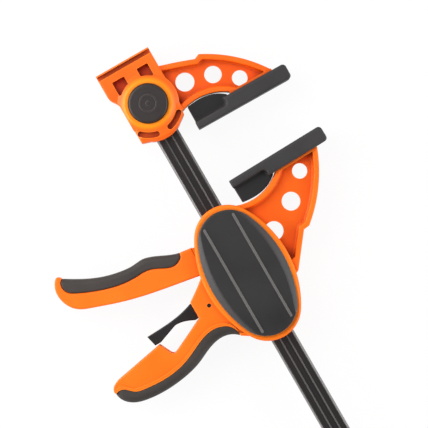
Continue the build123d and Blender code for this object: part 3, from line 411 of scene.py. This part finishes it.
# %% Pads and grips in rubber
# Painted shade on the sunken tongues of the pads.
tongue_shade_level = (0.0125, 0.0098, 0.9, (14, 12, 13))

pad_rubber = moulding(
    "pad_rubber",
    colour=(48, 46, 47),
    deeper=(40, 38, 39),
    highlight_colour=(110, 108, 108),
    highlight_share=0.6,
    shade_colour=(16, 14, 15),
    gloss=0.58,
    specular=0.4,
    grains=1600,
    depth=0.00004,
    painted_levels=(tongue_shade_level,),
)
grip_rubber = moulding(
    "soft_grip",
    colour=(57, 51, 48),
    deeper=(48, 43, 40),
    highlight_colour=(90, 85, 82),
    highlight_share=0.2,
    shade_colour=(20, 18, 17),
    gloss=0.6,
    specular=0.4,
    grains=1100,
    depth=0.00008,
)
print("rubber finishes:", pad_rubber.name, grip_rubber.name)

# %% [markdown]
# ## Steel
# The bar is rolled steel with a black lacquer: nearly black, with fine lines along its length, and a painted
# reflection makes it paler on its slopes. The lacquer is not a metal to the shader, so only the bare steel is
# metallic. The two pins that show are black like the bar. The plates, the springs and the pieces inside are
# bare.

# %% The steel recipe
steel_gloss_range = 0.08
line_strength = 0.4
line_depth = 0.00002


def steel(name, colour, streak, highlight_colour, highlight_share, gloss, metallic):
    """A rolled steel finish, with its lines along the bar; gloss is the mean roughness."""
    material, tree, shader, place = new_finish(name)
    shader.inputs["Metallic"].default_value = metallic
    rolled = place_group(tree, lines, Vector=place["Object"])["Lines"]
    sloped = place_group(tree, slope_reflection, Normal=place["Normal"], Vector=place["Object"])["Slope"]
    body = mix_colours(tree, rolled, screen(*colour), screen(*streak))
    # Painted reflection: the slopes are mixed towards a paler colour.
    reflected_share = calculate(tree, "MULTIPLY", sloped, highlight_share)
    body = mix_colours(tree, reflected_share, body, screen(*highlight_colour))
    sheen = spread(tree, rolled, 0.0, 1.0, gloss - steel_gloss_range, gloss + steel_gloss_range)
    set_surface(tree, shader, body, sheen, rolled, line_strength, line_depth)
    return material


black_steel = steel(
    "lacquered_bar",
    colour=(22, 18, 18),
    streak=(40, 35, 35),
    highlight_colour=(135, 132, 132),
    highlight_share=0.75,
    gloss=0.26,
    metallic=0.0,
)
bare_steel = steel(
    "bare_steel",
    colour=(168, 168, 172),
    streak=(186, 186, 190),
    highlight_colour=(215, 215, 218),
    highlight_share=0.3,
    gloss=0.35,
    metallic=1.0,
)
print("steel finishes:", black_steel.name, bare_steel.name)

# %% [markdown]
# ## Finishes on the solids
# Most solids have their right shape already and only need their finish, so they are not modelled again. The
# pads, the grips and three springs are left out here, because copies stand for them further down.

# %% Put the finishes on the solids
def set_finish(piece, material):
    """Put one finish all over a piece."""
    piece.data.materials.clear()
    piece.data.materials.append(material)


finishes = {
    jaw_orange: ("fixed_jaw",),
    orange: ("jaw_frame", "trigger"),
    cover_black: ("front_cover", "back_cover"),
    button_black: ("lock_button", "jaw_back_cap"),
    lever_black: ("release_lever",),
    black_steel: ("bar", "bar_stop_pin", "release_pivot_pin"),
    bare_steel: (
        "lock_key",
        "trigger_pivot_pin",
        "drive_plate_front",
        "drive_plate_rear",
        "brake_plate",
        "brake_spring",
    ),
}
for material, names in finishes.items():
    for name in names:
        set_finish(nodes[name], material)
print("finished solids:", sum(len(names) for names in finishes.values()), "of", len(nodes))

# %% [markdown]
# ## A mark on the lock button
# The button's face carries a raised sign that shows where to press. Here it is a plain ring with a dot. It
# could be painted on, but a raised sign catches the light from every side. A circle is the start: its edge
# is extruded outwards into a flat ring, the ring is extruded up, and its upper edges are bevelled.

# %% Helpers for modelling
crisp_angle = math.radians(40)


def start_shape():
    """Deselect everything, so that the operators act on the next shape alone."""
    if bpy.context.mode != "OBJECT":
        bpy.ops.object.mode_set(mode="OBJECT")
    bpy.ops.object.select_all(action="DESELECT")


def pick_edges(piece, wanted):
    """In edit mode, select the edges whose two ends both satisfy a test on their place."""
    bpy.ops.mesh.select_mode(type="EDGE")
    bpy.ops.mesh.select_all(action="DESELECT")
    bpy.ops.object.mode_set(mode="OBJECT")
    points = piece.data.vertices
    for edge in piece.data.edges:
        edge.select = all(wanted(points[corner].co) for corner in edge.vertices)
    bpy.ops.object.mode_set(mode="EDIT")


def settle():
    """Leave edit mode with outward faces, and put the piece's place into its mesh."""
    bpy.ops.mesh.select_all(action="SELECT")
    bpy.ops.mesh.normals_make_consistent(inside=False)
    bpy.ops.object.mode_set(mode="OBJECT")
    bpy.ops.object.transform_apply(location=True, rotation=True, scale=True)
    bpy.ops.object.shade_smooth_by_angle(angle=crisp_angle)


# %% Where the mark stands, and how it is raised
button_low, button_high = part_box("lock_button")
button_middle = (button_low + button_high) / 2
mark_sunk = 0.0001
mark_height = 0.00035
mark_thickness = mark_sunk + mark_height
mark_base = Vector((button_middle.x, button_middle.y, button_high.z - mark_sunk))


def raise_mark(name, edge_round):
    """Extrude a flat shape on the button's face up, and round its upper edges."""
    piece = bpy.context.object
    piece.name = name
    bpy.ops.mesh.select_all(action="SELECT")
    bpy.ops.mesh.extrude_region_move(TRANSFORM_OT_translate={"value": (0, 0, mark_thickness)})
    pick_edges(piece, lambda place: place.z > mark_thickness / 2)
    bpy.ops.mesh.bevel(offset=edge_round, segments=3, affect="EDGES")
    settle()
    set_finish(piece, button_black)
    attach(piece, "lock_button")
    print(piece.name, "faces", len(piece.data.polygons))


# %% Ring
ring_inside = 0.0056
ring_outside = 0.0072
widen = ring_outside / ring_inside

start_shape()
bpy.ops.mesh.primitive_circle_add(vertices=96, radius=ring_inside, fill_type="NOTHING", location=mark_base)
bpy.ops.object.mode_set(mode="EDIT")
bpy.ops.mesh.extrude_edges_move()
bpy.ops.transform.resize(value=(widen, widen, 1), center_override=mark_base)
raise_mark("button_ring_mark", edge_round=0.00015)

# %% Dot
dot_radius = 0.0022

start_shape()
bpy.ops.mesh.primitive_circle_add(vertices=64, radius=dot_radius, fill_type="NGON", location=mark_base)
bpy.ops.object.mode_set(mode="EDIT")
raise_mark("button_dot_mark", edge_round=0.00025)

# %% [markdown]
# ## Rubber with soft edges
# The pads are rubber boots and the grips are rubber moulded onto the handles, and neither has a crisp corner
# anywhere. They could be drawn again from boxes, but their outlines are right already. So each one starts
# from a copy of its solid: the copy's loose triangles are merged, a fine voxel remesh gives it even faces,
# and a few rounds of smoothing take every corner down to a small radius. The copy then stands for the solid.

# %% Pads and grips
merge_distance = 0.000002
rubber_voxel = 0.0005


def copy_of_solid(node, name):
    """A piece of its own with a copy of a solid's mesh."""
    piece = bpy.data.objects.new(name, nodes[node].data.copy())
    bpy.context.scene.collection.objects.link(piece)
    return piece


def rubber_moulding(node, body, rounds, material):
    """A copy of a solid with all its corners softened, which replaces the solid."""
    start_shape()
    piece = copy_of_solid(node, node + "_rubber")
    bpy.context.view_layer.objects.active = piece
    piece.select_set(True)
    bpy.ops.object.mode_set(mode="EDIT")
    bpy.ops.mesh.select_all(action="SELECT")
    bpy.ops.mesh.remove_doubles(threshold=merge_distance)
    bpy.ops.object.mode_set(mode="OBJECT")
    even = piece.modifiers.new("even_faces", "REMESH")
    even.mode = "VOXEL"
    even.voxel_size = rubber_voxel
    bpy.ops.object.modifier_apply(modifier=even.name)
    soften = piece.modifiers.new("soft_corners", "SMOOTH")
    soften.factor = 0.5
    soften.iterations = rounds
    bpy.ops.object.modifier_apply(modifier=soften.name)
    bpy.ops.object.shade_smooth()
    set_finish(piece, material)
    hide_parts(node)
    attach(piece, body)
    print(piece.name, "faces", len(piece.data.polygons))


rubber_moulding("fixed_jaw_pad", "bar", rounds=4, material=pad_rubber)
rubber_moulding("sliding_jaw_pad", "sliding_jaw", rounds=4, material=pad_rubber)
rubber_moulding("handle_grip", "sliding_jaw", rounds=8, material=grip_rubber)
rubber_moulding("trigger_grip", "trigger", rounds=8, material=grip_rubber)

# %% [markdown]
# ## Copies of the springs
# A solid spring keeps its length, so a pressed button would run onto its spring. Each spring that a joint
# shortens is a copy of its solid here, with a mesh of its own, which stands for the solid.


def giving_spring(node, body):
    """A copy of a spring, with a mesh of its own, which replaces the solid."""
    piece = copy_of_solid(node, node + "_coil")
    set_finish(piece, bare_steel)
    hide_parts(node)
    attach(piece, body)
    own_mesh(piece)


giving_spring("button_spring", "bar")
giving_spring("drive_spring", "sliding_jaw")
giving_spring("release_spring", "sliding_jaw")

# %% [markdown]
# ## Floor
# The clamp lies on its back cover on a white table. The floor is a plain plane at the lowest point of the
# solids. Seen by the camera it is nearly white by itself, so it stays white without flooding the clamp with
# light, and it keeps a faint shadow.

# %% Which rays see the white
def directly_seen(tree):
    """A mask that is 1 for what the camera sees, straight or by a mirror or a clear piece."""
    path = add_node(tree, "LightPath").outputs
    straight = calculate(tree, "MAXIMUM", path["Is Camera Ray"], path["Is Glossy Ray"])
    return calculate(tree, "MAXIMUM", straight, path["Is Transmission Ray"])


# %% A white table
white = (1.0, 1.0, 1.0, 1.0)
table_grey = (0.9, 0.9, 0.9, 1.0)
white_share = 0.92

start_shape()
bpy.ops.mesh.primitive_plane_add(size=40.0, location=(0, 0, cad_low.z))
floor = bpy.context.object
floor.name = "table_top"
bpy.ops.object.transform_apply(location=True, rotation=True, scale=True)
table_white = bpy.data.materials.new("table_white")
table_white.use_nodes = True
tree = table_white.node_tree
tree.nodes.remove(tree.nodes["Principled BSDF"])
matte = add_node(tree, "BsdfDiffuse", {"Color": table_grey})
glow = add_node(tree, "Emission", {"Color": white})
portion = calculate(tree, "MULTIPLY", directly_seen(tree), white_share)
blend = add_node(tree, "MixShader", {0: portion, 1: matte.outputs["BSDF"], 2: glow.outputs["Emission"]})
tree.links.new(blend.outputs["Shader"], tree.nodes["Material Output"].inputs["Surface"])
floor.data.materials.append(table_white)
print("table at", round(cad_low.z, 4), "m")

# %% [markdown]
# ## Light
# The picture has the light of a white studio with a wide softbox standing low on the picture's left: the
# left bevel of the cover is the palest, and the pockets of the arms lie in shade. The world is white round
# the horizon, like the studio's walls, and dimmer overhead, so that flat tops stay dark and only their edges
# mirror the walls. The low softbox gives the direction, a higher one lifts the tops, and a weaker one on the
# right keeps the far sides from going black. In the picture, right and up run at an angle to the bar.

# %% World
wall_top, ceiling_start = 0.2, 0.55
wall_light, ceiling_light = 1.0, 0.34

bpy.context.scene.view_settings.view_transform = "Standard"
world = bpy.data.worlds.new("studio_tent")
bpy.context.scene.world = world
world.use_nodes = True
tree = world.node_tree
direction = add_node(tree, "TexCoord").outputs["Generated"]
upwards = add_node(tree, "SeparateXYZ", {"Vector": direction}).outputs["Z"]
strength = spread(tree, upwards, wall_top, ceiling_start, wall_light, ceiling_light)
around = tree.nodes["Background"]
around.inputs["Color"].default_value = white
tree.links.new(strength, around.inputs["Strength"])
print("light of the walls", wall_light, "and of the ceiling", ceiling_light)

# %% Softboxes
picture_right = Vector((0.4985, 0.8669, 0.0))
picture_up = Vector((-0.8669, 0.4985, 0.0))
aim = Vector((0.0616, 0.0009, 0.004))


def softbox(name, right, up, above, width, height, watts):
    """A wide soft lamp that looks at the clamp, its long side level; lengths are in metres from the aim."""
    lamp = bpy.data.lights.new(name, "AREA")
    lamp.shape = "RECTANGLE"
    lamp.size = width
    lamp.size_y = height
    lamp.energy = watts
    held = bpy.data.objects.new(name, lamp)
    bpy.context.scene.collection.objects.link(held)
    held.location = aim + picture_right * right + picture_up * up + Vector((0, 0, above))
    held.rotation_euler = (aim - held.location).to_track_quat("-Z", "Z").to_euler()
    print(name, watts, "W at", [round(v, 3) for v in held.location])


softbox("low_softbox", right=-0.85, up=0.0, above=0.3, width=1.2, height=0.5, watts=10.0)
softbox("high_softbox", right=-0.7, up=0.5, above=1.2, width=0.9, height=0.9, watts=11.0)
softbox("fill_softbox", right=0.85, up=0.0, above=0.4, width=1.2, height=0.5, watts=7.0)

# %% [markdown]
# ## Camera
# The picture looks straight down with a long lens, turned so that the bar runs from upper left to lower
# right. The camera's own axes are written down directly: its right, its up, and its back, which is +Z.

# %% Camera straight above
camera_height = 2.4
width_seen = 0.3277

camera = bpy.data.objects.new("camera", bpy.data.cameras.new("camera"))
bpy.context.scene.collection.objects.link(camera)
camera.data.sensor_width = 36.0
camera.data.lens = camera.data.sensor_width * camera_height / width_seen
camera.data.clip_start = 0.01
back = picture_right.cross(picture_up)
axes = Matrix((picture_right, picture_up, back)).transposed()
camera.matrix_world = Matrix.Translation(aim + back * camera_height) @ axes.to_4x4()
bpy.context.scene.camera = camera
print("lens", round(camera.data.lens, 1), "mm")
